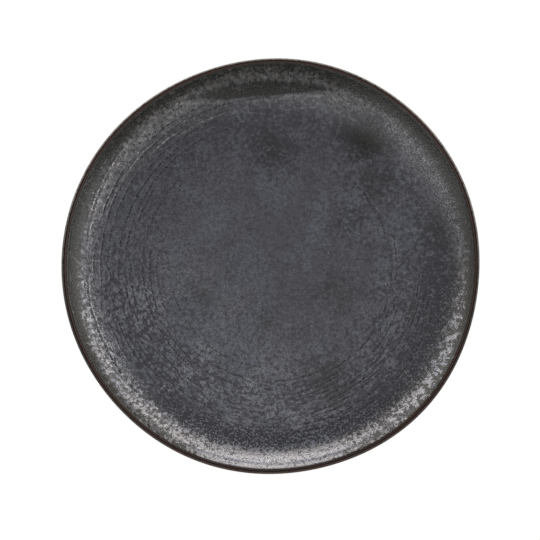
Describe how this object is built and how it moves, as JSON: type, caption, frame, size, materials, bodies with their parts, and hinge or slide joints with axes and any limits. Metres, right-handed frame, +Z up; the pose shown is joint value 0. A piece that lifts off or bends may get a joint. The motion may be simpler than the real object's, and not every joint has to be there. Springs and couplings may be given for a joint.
{
  "type": "breakfast plate",
  "caption": "Round coupe plate in glazed stoneware: flat floor, wall curving up to a brown lip, mottled dark blue-grey reactive glaze, bare foot ring to stand on.",
  "frame": {"origin": "centre of the foot ring, on the surface the plate stands on", "axes": "+Z up along the plate's axis; the plate is round, so +X and +Y are free: +X to the right and +Y away from the viewer in the picture"},
  "size_m": [0.215, 0.215, 0.021],
  "materials": {
    "bare_stoneware": "fired brown clay, ground and bare",
    "dark_iron_glaze": "dark iron base glaze, satin",
    "blue_grey_reactive_glaze": "mottled blue-grey crystal glaze, satin with a metallic sheen",
    "iron_brown_lip_glaze": "iron-brown glaze, satin",
    "dark_outer_glaze": "near-black glaze, satin"
  },
  "bodies": {
    "root": {"stoneware_body": "bare_stoneware", "foot_ring": "bare_stoneware", "inner_base_glaze": "dark_iron_glaze", "well_top_glaze": "blue_grey_reactive_glaze", "lip_glaze": "iron_brown_lip_glaze", "outer_glaze": "dark_outer_glaze", "underside_glaze": "dark_outer_glaze"}
  },
  "joints": []
}
